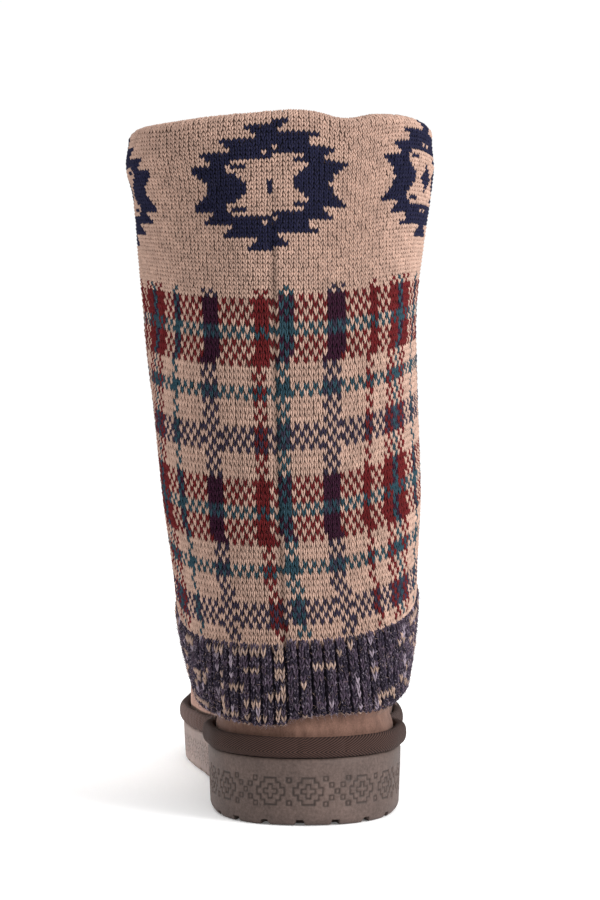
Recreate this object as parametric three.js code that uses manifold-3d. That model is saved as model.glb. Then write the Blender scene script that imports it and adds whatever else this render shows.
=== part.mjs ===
// Pull-on boot for a right foot: a suede foot with a textile shaft inside it, a loose knitted
// sleeve over the shaft, a padded binding roll round the feather line and a thick moulded sole.
// Millimetres, +Z up. The toe points along +Y and the inner (medial) side of the foot is at -X.
import * as THREE from 'three';
import Module from 'manifold-3d';
import { mergeVertices } from 'three/addons/utils/BufferGeometryUtils.js';

// ---- Driving dimensions ------------------------------------------------------------------
const SOLE_LENGTH = 272;
const BALL_WIDTH = 105;
const HEEL_THICKNESS = 27.5;
const BALL_THICKNESS = 18.6;
const TOE_LIFT = 9;
const ARCH_LIFT = 1.6;
const INSTEP_HEIGHT = 97;
const COLLAR_HEIGHT = 286.2;
const UPPER_WALL = 3;
const KNIT_THICKNESS = 3;
const RIB_THICKNESS = 4.2;
const HEM_DEPTH = 25;
const INSOLE_THICKNESS = 4.5;
const ROLL_WIDTH = 4.7;
const ROLL_HEIGHT = 8.5;
const FIT_GAP = 0.3;
const TREAD_PITCH = 15;
const TREAD_DEPTH = 2.3;
const HEEL_SEAT = 47.5;

const BALL_HALF = BALL_WIDTH / 2;
const AROUND = 48;
const SOLE_AROUND = 64;

// ---- Small maths -------------------------------------------------------------------------
const mix = (a, b, t) => a + (b - a) * t;

// Slope at a row that never overshoots its neighbours.
function restrainedSlope(before, after) {
  return before * after <= 0 ? 0 : (2 * before * after) / (before + after);
}

// Smooth value of one column of a table at a place along its key column.
function smooth(rows, key, column, place) {
  const last = rows.length - 1;
  const at = Math.min(Math.max(place, rows[0][key]), rows[last][key]);
  let i = 0;
  while (i < last - 1 && at > rows[i + 1][key]) {
    i += 1;
  }
  const secant = (k) => (rows[k + 1][column] - rows[k][column]) / (rows[k + 1][key] - rows[k][key]);
  const here = secant(i);
  const slopeA = i > 0 ? restrainedSlope(secant(i - 1), here) : here;
  const slopeB = i < last - 1 ? restrainedSlope(here, secant(i + 1)) : here;
  const span = rows[i + 1][key] - rows[i][key];
  const t = (at - rows[i][key]) / span;
  const cubic = (2 * t - 3) * t * t;
  return (cubic + 1) * rows[i][column] - cubic * rows[i + 1][column]
    + (t * (1 - t) ** 2 * slopeA - t * t * (1 - t) * slopeB) * span;
}

// ---- The last: plan outline and side profile ----------------------------------------------
// at: share of the length from the heel. fullness: half width against an ellipse of the ball's
// width. centre: how far the middle of the foot swings to the inner side.
const OUTLINE = [
  { at: 0.00, fullness: 1.37, centre: 0 },
  { at: 0.06, fullness: 1.25, centre: 0 },
  { at: 0.16, fullness: 1.045, centre: 0 },
  { at: 0.38, fullness: 0.78, centre: -1.8 },
  { at: 0.50, fullness: 0.845, centre: -2.8 },
  { at: 0.62, fullness: 0.985, centre: -4.5 },
  { at: 0.71, fullness: 1.10, centre: -6.5 },
  { at: 0.85, fullness: 1.22, centre: -9.8 },
  { at: 0.94, fullness: 1.30, centre: -12.5 },
  { at: 1.00, fullness: 1.45, centre: -14.5 },
];

// top and bottom: heights of the sole's edges. The heel and the ball are flat on the ground.
const SOLE_SIDE = [
  { at: 0.00, top: HEEL_THICKNESS, bottom: 0.4 },
  { at: 0.03, top: HEEL_THICKNESS, bottom: 0 },
  { at: 0.20, top: HEEL_THICKNESS - 0.4, bottom: 0 },
  { at: 0.32, top: 24.9, bottom: 0 },
  { at: 0.41, top: 22.2, bottom: ARCH_LIFT },
  { at: 0.50, top: 20, bottom: 0 },
  { at: 0.62, top: BALL_THICKNESS, bottom: 0 },
  { at: 0.72, top: BALL_THICKNESS, bottom: 0 },
  { at: 0.78, top: BALL_THICKNESS + 0.5, bottom: 0 },
  { at: 0.88, top: 21, bottom: TOE_LIFT * 0.3 },
  { at: 1.00, top: BALL_THICKNESS + 7, bottom: TOE_LIFT },
];

// The sole's wall. up: share of its height. inset: how far inside the outline.
const SOLE_WALL = [
  { up: 0.00, inset: 3.2 },
  { up: 0.03, inset: 1.9 },
  { up: 0.09, inset: 1.1 },
  { up: 0.35, inset: 0.7 },
  { up: 0.75, inset: 0.2 },
  { up: 0.95, inset: 0 },
  { up: 1.00, inset: 0.7 },
];

const fullness = (at) => smooth(OUTLINE, 'at', 'fullness', at);
const centreLine = (at) => smooth(OUTLINE, 'at', 'centre', at);
const soleTop = (y) => smooth(SOLE_SIDE, 'at', 'top', y / SOLE_LENGTH);
const soleBottom = (y) => smooth(SOLE_SIDE, 'at', 'bottom', y / SOLE_LENGTH);

// Sections of the upper's outer face, from the feather line to the collar. Each is a closed
// ring that rises from the back to the front. back, front: where it crosses the middle of the
// boot. backZ, frontZ: its heights there. half: half width. foot: 1 is the shape of the sole,
// 0 is an ellipse. rise: how late it climbs towards the front. lean: shift of the shaft to the
// inner side. tip: how much higher the outer side is.
const UPPER_SECTIONS = [
  { back: 4.6, front: 267.4, backZ: 27.8, frontZ: 25.5, half: 47.9, foot: 1, rise: 1, lean: 0, tip: 0 },
  { back: 4.3, front: 267.9, backZ: 30, frontZ: 31.5, half: 48.4, foot: 1, rise: 1.1, lean: 0, tip: 0 },
  { back: 4.1, front: 266.9, backZ: 32.5, frontZ: 41, half: 48.6, foot: 1, rise: 1.3, lean: 0, tip: 0 },
  { back: 3.9, front: 262, backZ: 34.6, frontZ: 50, half: 48.2, foot: 1, rise: 1.6, lean: 0, tip: 0 },
  { back: 3.8, front: 251, backZ: 36.4, frontZ: 58, half: 47.4, foot: 0.95, rise: 1.9, lean: 0, tip: 0 },
  { back: 3.8, front: 235, backZ: 38, frontZ: 65, half: 46.6, foot: 0.86, rise: 2.1, lean: -0.2, tip: 0 },
  { back: 3.9, front: 215, backZ: 39.6, frontZ: 73, half: 46.2, foot: 0.72, rise: 2.2, lean: -0.5, tip: 0 },
  { back: 4.1, front: 193, backZ: 41.2, frontZ: 83, half: 46, foot: 0.55, rise: 2.2, lean: -1, tip: 0 },
  { back: 4.4, front: 170, backZ: 43, frontZ: INSTEP_HEIGHT, half: 47.2, foot: 0.38, rise: 2.1,
    lean: -1.3, tip: 0 },
  { back: 5, front: 159, backZ: 57, frontZ: 108, half: 49.2, foot: 0.24, rise: 2.1, lean: -2, tip: 0 },
  { back: 5.7, front: 149, backZ: 72, frontZ: 119, half: 49.9, foot: 0.14, rise: 2, lean: -3, tip: 0 },
  { back: 6.1, front: 141, backZ: 92, frontZ: 134, half: 50.6, foot: 0.06, rise: 1.7, lean: -4.2, tip: 0 },
  { back: 5.3, front: 135, backZ: 118, frontZ: 153, half: 51.9, foot: 0, rise: 1.35, lean: -5.6, tip: 0 },
  { back: 4, front: 131, backZ: 148, frontZ: 176, half: 53.2, foot: 0, rise: 1.1, lean: -6.8, tip: 0 },
  { back: 2.2, front: 128.5, backZ: 182, frontZ: 203, half: 55, foot: 0, rise: 1, lean: -7.7, tip: 0 },
  { back: 0.4, front: 126, backZ: 220, frontZ: 233, half: 57.1, foot: 0, rise: 1, lean: -8.6, tip: 0.3 },
  { back: -1.2, front: 123.5, backZ: 256, frontZ: 262, half: 60.2, foot: 0, rise: 1, lean: -9.2, tip: 1 },
  { back: -2, front: 121.5, backZ: COLLAR_HEIGHT, frontZ: COLLAR_HEIGHT, half: 63.8, foot: 0, rise: 1,
    lean: -9.8, tip: 1.9 },
].map((row, level) => ({ ...row, level }));

const FEATHER = 0;
const HEM = 8;
const CUFF_TOP = 10;
const COLLAR = UPPER_SECTIONS.length - 1;
const HEM_END = COLLAR - HEM_DEPTH / (UPPER_SECTIONS[COLLAR].backZ - UPPER_SECTIONS[COLLAR - 1].backZ);

// Point of the upper's outer face. turn: 0 at the back, a quarter turn at the outer side, half a
// turn at the front. level: row of UPPER_SECTIONS, with smooth steps between rows.
function upperPoint(turn, level) {
  const column = (name) => smooth(UPPER_SECTIONS, 'level', name, level);
  const along = (1 - Math.cos(turn)) / 2;
  const back = column('back');
  const front = column('front');
  const half = column('half');
  const foot = column('foot');
  const y = mix(back, front, along);
  const footHalf = fullness(along) * BALL_HALF - (BALL_HALF - half);
  const x = column('lean') + foot * centreLine(along) + Math.sin(turn) * mix(half, footHalf, foot);
  const sag = soleTop(y) - mix(soleTop(back), soleTop(front), along);
  const climb = mix(column('backZ'), column('frontZ'), along ** column('rise'));
  return new THREE.Vector3(x, y, climb + foot * sag + column('tip') * Math.sin(turn));
}

// Outward normal of that face, level with the ground at its two rims.
function upperNormal(turn, level) {
  const step = 0.02;
  const below = Math.max(level - step, FEATHER);
  const above = Math.min(level + step, COLLAR);
  const across = upperPoint(turn + step, level).sub(upperPoint(turn - step, level));
  const upwards = upperPoint(turn, above).sub(upperPoint(turn, below));
  const normal = across.cross(upwards);
  if (level === FEATHER || level === COLLAR) {
    normal.z = 0;
  }
  return normal.normalize();
}

// ---- Closed solids from rings --------------------------------------------------------------
function ring(count, pointAt) {
  return Array.from({ length: count }, (unused, i) => pointAt((2 * Math.PI * i) / count));
}

// Ring of the upper's face moved out by a distance (or in, below zero) and up.
function offsetRing(level, out, up = 0) {
  return ring(AROUND, (turn) => {
    const point = upperPoint(turn, level).addScaledVector(upperNormal(turn, level), out);
    point.z += up;
    return point;
  });
}

function solidFrom(rings, faces) {
  const positions = rings.flat().flatMap((point) => [point.x, point.y, point.z]);
  const geometry = new THREE.BufferGeometry();
  geometry.setAttribute('position', new THREE.Float32BufferAttribute(positions, 3));
  geometry.setIndex(faces);
  return geometry;
}

// Two triangles for each step between neighbouring rings, split along the shorter diagonal. They
// face out when the rings go up.
function bandFaces(rings, lower, upper) {
  const count = rings[0].length;
  const faces = [];
  for (let i = 0; i < count; i += 1) {
    const next = (i + 1) % count;
    const a = lower * count + i;
    const b = lower * count + next;
    const c = upper * count + next;
    const d = upper * count + i;
    const rising = rings[lower][i].distanceTo(rings[upper][next]);
    const falling = rings[lower][next].distanceTo(rings[upper][i]);
    if (rising < falling) {
      faces.push(a, b, c, a, c, d);
    } else {
      faces.push(a, b, d, b, c, d);
    }
  }
  return faces;
}

// A hollow body: its rings go up the outside, over the top, down the inside and back to the start.
function hollowSolid(rings) {
  const faces = rings.flatMap((unused, k) => bandFaces(rings, k, (k + 1) % rings.length));
  return solidFrom(rings, faces);
}

// A filled body: its first and last rings are closed by strips straight across.
function cappedSolid(rings) {
  const count = rings[0].length;
  const half = count / 2;
  const faces = [];
  for (let k = 0; k < rings.length - 1; k += 1) {
    faces.push(...bandFaces(rings, k, k + 1));
  }
  const top = (rings.length - 1) * count;
  for (let i = 0; i < half; i += 1) {
    const a = i;
    const b = i + 1;
    const c = (count - b) % count;
    const d = (count - a) % count;
    if (a !== d) {
      faces.push(a, d, b);
      faces.push(top + a, top + b, top + d);
    }
    if (b !== c) {
      faces.push(d, c, b);
      faces.push(top + d, top + b, top + c);
    }
  }
  return solidFrom(rings, faces);
}

// ---- Boolean cuts --------------------------------------------------------------------------
const wasm = await Module();
wasm.setup();

function toManifold(geometry) {
  const bare = geometry.clone();
  bare.deleteAttribute('normal');
  bare.deleteAttribute('uv');
  const merged = mergeVertices(bare);
  return new wasm.Manifold(new wasm.Mesh({
    numProp: 3,
    vertProperties: new Float32Array(merged.attributes.position.array),
    triVerts: new Uint32Array(merged.index.array),
  }));
}

function toGeometry(solid) {
  const mesh = solid.getMesh();
  const geometry = new THREE.BufferGeometry();
  geometry.setAttribute('position', new THREE.BufferAttribute(mesh.vertProperties, 3));
  geometry.setIndex(new THREE.BufferAttribute(mesh.triVerts, 1));
  return geometry;
}

// ---- Outsole -------------------------------------------------------------------------------
function outlinePoint(turn, inset) {
  const along = (1 - Math.cos(turn)) / 2;
  const y = mix(inset, SOLE_LENGTH - inset, along);
  const x = centreLine(along) + Math.sin(turn) * (fullness(along) * BALL_HALF - inset);
  return new THREE.Vector3(x, y, 0);
}

function soleRing(row) {
  return ring(SOLE_AROUND, (turn) => {
    const point = outlinePoint(turn, row.inset);
    point.z = mix(soleBottom(point.y), soleTop(point.y), row.up);
    return point;
  });
}

// Groove cutter: a trapezoid bar under the tread between two places, following the tread's height.
function grooveCutter(from, to, width) {
  const side = new THREE.Vector3().subVectors(to, from).cross(new THREE.Vector3(0, 0, 1)).normalize();
  const corners = [
    { across: -0.65 * width, height: -TREAD_DEPTH },
    { across: 0.65 * width, height: -TREAD_DEPTH },
    { across: 0.42 * width, height: TREAD_DEPTH },
    { across: -0.42 * width, height: TREAD_DEPTH },
  ];
  const section = (place) => corners.map(({ across, height }) => {
    const point = place.clone().addScaledVector(side, across);
    point.z = soleBottom(place.y) + height;
    return point;
  });
  const faces = [0, 1, 2, 0, 2, 3, 4, 6, 5, 4, 7, 6];
  for (let i = 0; i < corners.length; i += 1) {
    const next = (i + 1) % corners.length;
    faces.push(i, i + 4, next + 4, i, next + 4, next);
  }
  return toManifold(solidFrom([section(from), section(to)], faces));
}

// Places round the sole's edge, a tread pitch apart, each with the way out of the sole.
function edgePlaces() {
  const samples = 720;
  const points = ring(samples, (turn) => outlinePoint(turn, 0));
  const lengths = [0];
  for (let i = 1; i <= samples; i += 1) {
    lengths.push(lengths[i - 1] + points[i % samples].distanceTo(points[i - 1]));
  }
  const total = lengths[samples];
  const count = 2 * Math.round(total / TREAD_PITCH / 2);
  const places = [];
  for (let k = 0; k < count; k += 1) {
    const i = lengths.findIndex((length) => length >= (total * k) / count) % samples;
    const tangent = points[(i + 1) % samples].clone().sub(points[(i + samples - 1) % samples]);
    const out = tangent.cross(new THREE.Vector3(0, 0, 1)).normalize();
    places.push({ point: points[i], out });
  }
  return places;
}

function edgeNotches() {
  const inward = 9;
  const outward = 2;
  const width = 2.8;
  return edgePlaces().map(({ point, out }) => {
    const from = point.clone().addScaledVector(out, -inward);
    const to = point.clone().addScaledVector(out, outward);
    return grooveCutter(from, to, width);
  });
}

// Straight channels across the heel and the ball, between the lugs.
function crossChannels() {
  const width = 3.6;
  const edge = 15;
  const rows = [-1.5, -0.5, 0.5, 1.5, 7, 8, 9, 10];
  return rows.map((row) => {
    const y = HEEL_SEAT + row * TREAD_PITCH;
    const along = y / SOLE_LENGTH;
    const reach = Math.sqrt(4 * along * (1 - along)) * fullness(along) * BALL_HALF - edge;
    const from = new THREE.Vector3(centreLine(along) - reach, y, 0);
    const to = new THREE.Vector3(centreLine(along) + reach, y, 0);
    return grooveCutter(from, to, width);
  });
}

function outsoleGeometry() {
  const block = toManifold(cappedSolid(SOLE_WALL.map(soleRing)));
  const grooves = [...edgeNotches(), ...crossChannels()];
  return toGeometry(grooves.reduce((body, groove) => body.subtract(groove), block));
}

// ---- Insole --------------------------------------------------------------------------------
function insoleGeometry() {
  const clearance = 0.5;
  const edge = 0.8;
  const layer = (extraInset, up) => offsetRing(FEATHER, -UPPER_WALL - clearance - extraInset).map((point) => {
    point.z = soleTop(point.y) + FIT_GAP + up;
    return point;
  });
  return cappedSolid([
    layer(0, 0),
    layer(0, INSOLE_THICKNESS - edge),
    layer(edge, INSOLE_THICKNESS),
  ]);
}

// ---- Binding roll --------------------------------------------------------------------------
// A padded tape roll that lies on the sole's edge and hugs the foot of the upper.
function bindingRollGeometry() {
  const sides = 10;
  const squareness = 0.82;
  const clearance = 0.9;
  const rounded = (value) => Math.sign(value) * Math.abs(value) ** squareness;
  const rings = Array.from({ length: sides }, (unused, k) => {
    const angle = (2 * Math.PI * (k + 0.5)) / sides;
    const out = clearance + (ROLL_WIDTH / 2) * (1 + rounded(Math.sin(angle)));
    const up = FIT_GAP + (ROLL_HEIGHT / 2) * (1 - rounded(Math.cos(angle)));
    return ring(SOLE_AROUND, (turn) => {
      const point = upperPoint(turn, FEATHER).addScaledVector(upperNormal(turn, FEATHER), out);
      point.z = soleTop(point.y) + up;
      return point;
    });
  });
  return hollowSolid(rings);
}

// ---- Upper ---------------------------------------------------------------------------------
function upperGeometry() {
  const levels = [...UPPER_SECTIONS.map((row) => row.level), HEM_END].sort((a, b) => a - b);
  const outside = levels.map((level) => offsetRing(level, 0));
  const inside = levels.toReversed().map((level) => offsetRing(level, -UPPER_WALL));
  return hollowSolid([...outside, ...inside]);
}

// ---- Knitted sleeve ------------------------------------------------------------------------
// One knitted piece: the ribbed cuff at the ankle, the leg, the turn over the collar and the hem
// that hangs inside it.
function knitSleeveGeometry() {
  const levels = UPPER_SECTIONS.map((row) => row.level).filter((level) => level >= HEM);
  const skin = (level) => FIT_GAP + (level <= CUFF_TOP ? RIB_THICKNESS : KNIT_THICKNESS);
  const outside = levels.map((level) => offsetRing(level, skin(level)));
  const inside = levels.toReversed().map((level) => offsetRing(level, FIT_GAP));

  const middle = -UPPER_WALL / 2;
  const outerReach = UPPER_WALL / 2 + FIT_GAP + KNIT_THICKNESS;
  const innerReach = UPPER_WALL / 2 + FIT_GAP;
  const turnSteps = 4;
  const turnOver = [];
  for (let k = 1; k < turnSteps; k += 1) {
    const angle = (Math.PI * k) / turnSteps;
    const out = middle + outerReach * Math.cos(angle);
    turnOver.push(offsetRing(COLLAR, out, (FIT_GAP + KNIT_THICKNESS) * Math.sin(angle)));
  }

  const hem = [
    offsetRing(COLLAR, middle - outerReach),
    offsetRing(HEM_END, middle - outerReach),
    offsetRing(HEM_END, middle - innerReach),
    offsetRing(COLLAR, middle - innerReach),
    offsetRing(COLLAR, middle - innerReach, FIT_GAP),
    offsetRing(COLLAR, middle + innerReach, FIT_GAP),
  ];
  return hollowSolid([...outside, ...turnOver, ...hem, ...inside]);
}

// ---- The boot ------------------------------------------------------------------------------
function piece(name, geometry, color, roughness) {
  const material = new THREE.MeshStandardMaterial({ color, roughness, metalness: 0 });
  const mesh = new THREE.Mesh(geometry, material);
  mesh.name = name;
  return mesh;
}

const boot = new THREE.Group();
boot.add(piece('outsole', outsoleGeometry(), 0x786c64, 0.75));
boot.add(piece('insole', insoleGeometry(), 0xb8a894, 0.95));
boot.add(piece('binding_roll', bindingRollGeometry(), 0x5a4b41, 0.9));
boot.add(piece('upper', upperGeometry(), 0x967864, 0.95));
boot.add(piece('knit_sleeve', knitSleeveGeometry(), 0xb89880, 0.95));

// The origin is on the ground under the middle of the heel.
boot.position.y = -HEEL_SEAT;

export default boot;
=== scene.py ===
import math
from functools import partialmethod

import bmesh
import bpy
import numpy as np
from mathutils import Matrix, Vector


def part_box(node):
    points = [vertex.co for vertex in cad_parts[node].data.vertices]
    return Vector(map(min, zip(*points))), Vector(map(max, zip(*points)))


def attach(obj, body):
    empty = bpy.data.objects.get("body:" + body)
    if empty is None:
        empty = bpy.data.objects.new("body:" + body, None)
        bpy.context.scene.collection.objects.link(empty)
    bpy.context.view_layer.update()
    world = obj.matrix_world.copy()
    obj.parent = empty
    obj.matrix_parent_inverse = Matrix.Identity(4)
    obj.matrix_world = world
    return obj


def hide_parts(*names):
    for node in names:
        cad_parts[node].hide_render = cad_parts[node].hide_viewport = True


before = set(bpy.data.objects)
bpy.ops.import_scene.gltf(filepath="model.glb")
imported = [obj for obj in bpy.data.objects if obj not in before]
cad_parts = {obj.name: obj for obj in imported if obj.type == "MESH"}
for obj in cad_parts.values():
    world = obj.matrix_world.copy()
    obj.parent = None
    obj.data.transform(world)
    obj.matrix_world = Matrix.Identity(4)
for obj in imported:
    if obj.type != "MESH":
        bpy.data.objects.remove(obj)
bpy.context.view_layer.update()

MM = 0.001
TAU = 2 * math.pi

# ---- Places from the frame ----
SOLE_LOW, SOLE_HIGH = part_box("outsole")
HEEL_BACK = SOLE_LOW.y / MM
SOLE_LENGTH = (SOLE_HIGH.y - SOLE_LOW.y) / MM

# ---- The shoe's own sizes, as in the frame ----
BALL_HALF = 52.5
HEEL_THICKNESS = 27.5
BALL_THICKNESS = 18.6
TOE_LIFT = 9
ARCH_LIFT = 1.6
INSTEP_HEIGHT = 97
COLLAR_HEIGHT = 286.2
UPPER_WALL = 3
SUEDE_THICKNESS = 1.8
RIB_THICKNESS = 4.2
HEM_DEPTH = 25
ROLL_WIDTH = 4.7
ROLL_HEIGHT = 8.5
FIT_GAP = 0.3
TREAD_PITCH = 15
TREAD_DEPTH = 2.3


def table(names, *rows):
    """Named columns from rows of numbers."""
    return dict(zip(names.split(), np.array(rows, float).T))


# at: share of the length from the heel. fullness: half width against an ellipse of the ball's
# width. centre: how far the middle of the foot swings to the inner side.
OUTLINE = table(
    "at fullness centre",
    (0.00, 1.37, 0),
    (0.06, 1.25, 0),
    (0.16, 1.045, 0),
    (0.38, 0.78, -1.8),
    (0.50, 0.845, -2.8),
    (0.62, 0.985, -4.5),
    (0.71, 1.10, -6.5),
    (0.85, 1.22, -9.8),
    (0.94, 1.30, -12.5),
    (1.00, 1.45, -14.5),
)
SOLE_SIDE = table(
    "at top bottom",
    (0.00, HEEL_THICKNESS, 0.4),
    (0.03, HEEL_THICKNESS, 0),
    (0.20, HEEL_THICKNESS - 0.4, 0),
    (0.32, 24.9, 0),
    (0.41, 22.2, ARCH_LIFT),
    (0.50, 20, 0),
    (0.62, BALL_THICKNESS, 0),
    (0.72, BALL_THICKNESS, 0),
    (0.78, BALL_THICKNESS + 0.5, 0),
    (0.88, 21, TOE_LIFT * 0.3),
    (1.00, BALL_THICKNESS + 7, TOE_LIFT),
)
SOLE_WALL = table(
    "up inset",
    (0.00, 3.2),
    (0.03, 1.9),
    (0.09, 1.1),
    (0.35, 0.7),
    (0.75, 0.2),
    (0.95, 0),
    (1.00, 0.7),
)
# Rings of the upper's outer face from the feather line to the collar, as in the frame.
UPPER = table(
    "level back front backZ frontZ half foot rise lean tip",
    (0, 4.6, 267.4, 27.8, 25.5, 47.9, 1, 1, 0, 0),
    (1, 4.3, 267.9, 30, 31.5, 48.4, 1, 1.1, 0, 0),
    (2, 4.1, 266.9, 32.5, 41, 48.6, 1, 1.3, 0, 0),
    (3, 3.9, 262, 34.6, 50, 48.2, 1, 1.6, 0, 0),
    (4, 3.8, 251, 36.4, 58, 47.4, 0.95, 1.9, 0, 0),
    (5, 3.8, 235, 38, 65, 46.6, 0.86, 2.1, -0.2, 0),
    (6, 3.9, 215, 39.6, 73, 46.2, 0.72, 2.2, -0.5, 0),
    (7, 4.1, 193, 41.2, 83, 46, 0.55, 2.2, -1, 0),
    (8, 4.4, 170, 43, INSTEP_HEIGHT, 47.2, 0.38, 2.1, -1.3, 0),
    (9, 5, 159, 57, 108, 49.2, 0.24, 2.1, -2, 0),
    (10, 5.7, 149, 72, 119, 49.9, 0.14, 2, -3, 0),
    (11, 6.1, 141, 92, 134, 50.6, 0.06, 1.7, -4.2, 0),
    (12, 5.3, 135, 118, 153, 51.9, 0, 1.35, -5.6, 0),
    (13, 4, 131, 148, 176, 53.2, 0, 1.1, -6.8, 0),
    (14, 2.2, 128.5, 182, 203, 55, 0, 1, -7.7, 0),
    (15, 0.4, 126, 220, 233, 57.1, 0, 1, -8.6, 0.3),
    (16, -1.2, 123.5, 256, 262, 60.2, 0, 1, -9.2, 1),
    (17, -2, 121.5, COLLAR_HEIGHT, COLLAR_HEIGHT, 63.8, 0, 1, -9.8, 1.9),
)
FEATHER, HEM, CUFF_TOP, COLLAR = 0.0, 8.0, 10.0, 17.0
CUFF_TOP_HEIGHT = 72.0


# ---- Small maths ----
def smooth(rows, key, column, place):
    """Smooth value of a table's column at places along its key column, without overshoot."""
    keys, values = rows[key], rows[column]
    place = np.clip(place, keys[0], keys[-1])
    secant = np.diff(values) / np.diff(keys)
    before, after = secant[:-1], secant[1:]
    total = np.where(before * after > 0, before + after, 1)
    inner = np.where(before * after > 0, 2 * before * after / total, 0)
    slope = np.concatenate([secant[:1], inner, secant[-1:]])
    i = np.clip(np.searchsorted(keys, place) - 1, 0, len(keys) - 2)
    span = keys[i + 1] - keys[i]
    t = (place - keys[i]) / span
    cubic = (2 * t - 3) * t * t
    bend = t * (1 - t) ** 2 * slope[i] - t * t * (1 - t) * slope[i + 1]
    return (cubic + 1) * values[i] - cubic * values[i + 1] + bend * span


def mix(a, b, t):
    return a + (b - a) * t


def length_of(vectors):
    return np.linalg.norm(vectors, axis=-1)


def unit(vectors):
    return vectors / length_of(vectors)[..., None]


def spread_turns(fine, ring, count):
    """Turns that share a ring's way round evenly, their run from its start, and its whole length."""
    run = np.concatenate([[0], np.cumsum(length_of(np.diff(ring, axis=0)))])
    places = np.linspace(0, run[-1], count, endpoint=False)
    return np.interp(places, run, fine), places, run[-1]


def bump_shape(distance, width):
    """A soft hump: 1 at no distance, falling away over a width."""
    return np.exp(-((distance / width) ** 2))


def wrapped(angle):
    """An angle brought between minus half a turn and half a turn."""
    return (angle + math.pi) % TAU - math.pi


def sole_top(y):
    return smooth(SOLE_SIDE, "at", "top", y / SOLE_LENGTH)


def sole_bottom(y):
    return smooth(SOLE_SIDE, "at", "bottom", y / SOLE_LENGTH)


def outline_point(turn, inset):
    """Place on the sole's outline, moved in by an inset. Heel at no turn, toe at half a turn."""
    along = (1 - np.cos(turn)) / 2
    y = mix(inset, SOLE_LENGTH - inset, along)
    half = smooth(OUTLINE, "at", "fullness", along) * BALL_HALF - inset
    x = smooth(OUTLINE, "at", "centre", along) + np.sin(turn) * half
    return np.stack([x, y], axis=-1)


def upper_point(turn, level):
    """Point of the upper's outer face, measured from the heel's back."""
    column = {name: smooth(UPPER, "level", name, level) for name in UPPER if name != "level"}
    along = (1 - np.cos(turn)) / 2
    y = mix(column["back"], column["front"], along)
    foot_half = smooth(OUTLINE, "at", "fullness", along) * BALL_HALF - (BALL_HALF - column["half"])
    half = mix(column["half"], foot_half, column["foot"])
    swing = column["foot"] * smooth(OUTLINE, "at", "centre", along)
    x = column["lean"] + swing + np.sin(turn) * half
    sag = sole_top(y) - mix(sole_top(column["back"]), sole_top(column["front"]), along)
    climb = mix(column["backZ"], column["frontZ"], along ** column["rise"])
    z = climb + column["foot"] * sag + column["tip"] * np.sin(turn)
    return np.stack([x, y, z], axis=-1)


def upper_normal(turn, level):
    """Outward normal of that face, level with the ground at its two rims."""
    step = 0.02
    below, above = np.maximum(level - step, FEATHER), np.minimum(level + step, COLLAR)
    across = upper_point(turn + step, level) - upper_point(turn - step, level)
    upwards = upper_point(turn, above) - upper_point(turn, below)
    normal = np.cross(across, upwards)
    at_rim = (level <= FEATHER) | (level >= COLLAR)
    normal[..., 2] = np.where(at_rim, 0, normal[..., 2])
    return unit(normal)


def off_upper(turn, level, out, up=0.0):
    """Point of the upper's face moved out along its normal and up."""
    turn, level, out, up = np.broadcast_arrays(turn, level, out, up)
    point = upper_point(turn, level) + upper_normal(turn, level) * out[..., None]
    point[..., 2] += up
    return point


# ---- Meshes ----
def placed(name, data):
    """A new object in the scene."""
    made = bpy.data.objects.new(name, data)
    bpy.context.scene.collection.objects.link(made)
    return made


def discard(helper):
    """Takes a helper object and its mesh away."""
    mesh = helper.data
    bpy.data.objects.remove(helper)
    bpy.data.meshes.remove(mesh)


def store(mesh, name, kind, key, values):
    """Gives each point of a mesh a colour or a vector."""
    field = mesh.attributes.new(name, kind, "POINT")
    field.data.foreach_set(key, values.reshape(-1).astype(np.float32))


def store_uv(layer, uv):
    layer.data.foreach_set("uv", uv.reshape(-1).astype(np.float32))


def grid_quads(rows, columns, close_rows=False):
    """Faces between neighbouring rings, and the ring step and row step at each corner."""
    last = rows if close_rows else rows - 1
    k, i = np.meshgrid(np.arange(last), np.arange(columns), indexing="ij")
    k, i = k.ravel(), i.ravel()
    up, across = (k + 1) % rows, (i + 1) % columns
    faces = np.stack([k * columns + i, k * columns + across, up * columns + across, up * columns + i], 1)
    corner = np.stack([np.stack([i, i + 1, i + 1, i], 1), np.stack([k, k, k + 1, k + 1], 1)], 2)
    return faces, corner


def new_mesh(name, points, faces, uv=None, yarn=None):
    """A smooth mesh piece from points in millimetres behind the heel and faces of equal size."""
    place = (np.asarray(points, float).reshape(-1, 3) + (0, HEEL_BACK, 0)) * MM
    mesh = bpy.data.meshes.new(name)
    sides = faces.shape[1]
    mesh.vertices.add(len(place))
    mesh.vertices.foreach_set("co", place.ravel().astype(np.float32))
    mesh.loops.add(faces.size)
    mesh.loops.foreach_set("vertex_index", faces.ravel().astype(np.int32))
    mesh.polygons.add(len(faces))
    mesh.polygons.foreach_set("loop_start", np.arange(0, faces.size, sides, dtype=np.int32))
    if uv is not None:
        store_uv(mesh.uv_layers.new(name="surface"), uv)
    if yarn is not None:
        store(mesh, "yarn", "FLOAT_COLOR", "color", yarn)
    mesh.update(calc_edges=True)
    mesh.validate()
    mesh.polygons.foreach_set("use_smooth", np.ones(len(mesh.polygons), bool))
    return placed(name, mesh)


def ring_piece(name, rings, yarn=None):
    """A hollow closed body: rings up the outside, over, down the inside and back to the start."""
    rows, columns = rings.shape[:2]
    faces, corner = grid_quads(rows, columns, close_rows=True)
    uv = corner / np.array([columns, rows])
    return new_mesh(name, rings, faces, uv, yarn)


def finish_piece(piece, material, slot, *nodes):
    """Dresses a piece and ties it to the frame."""
    piece.data.materials.clear()
    piece.data.materials.append(MATERIALS[material])
    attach(piece, "root")
    if nodes:
        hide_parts(*nodes)
    return piece


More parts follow.
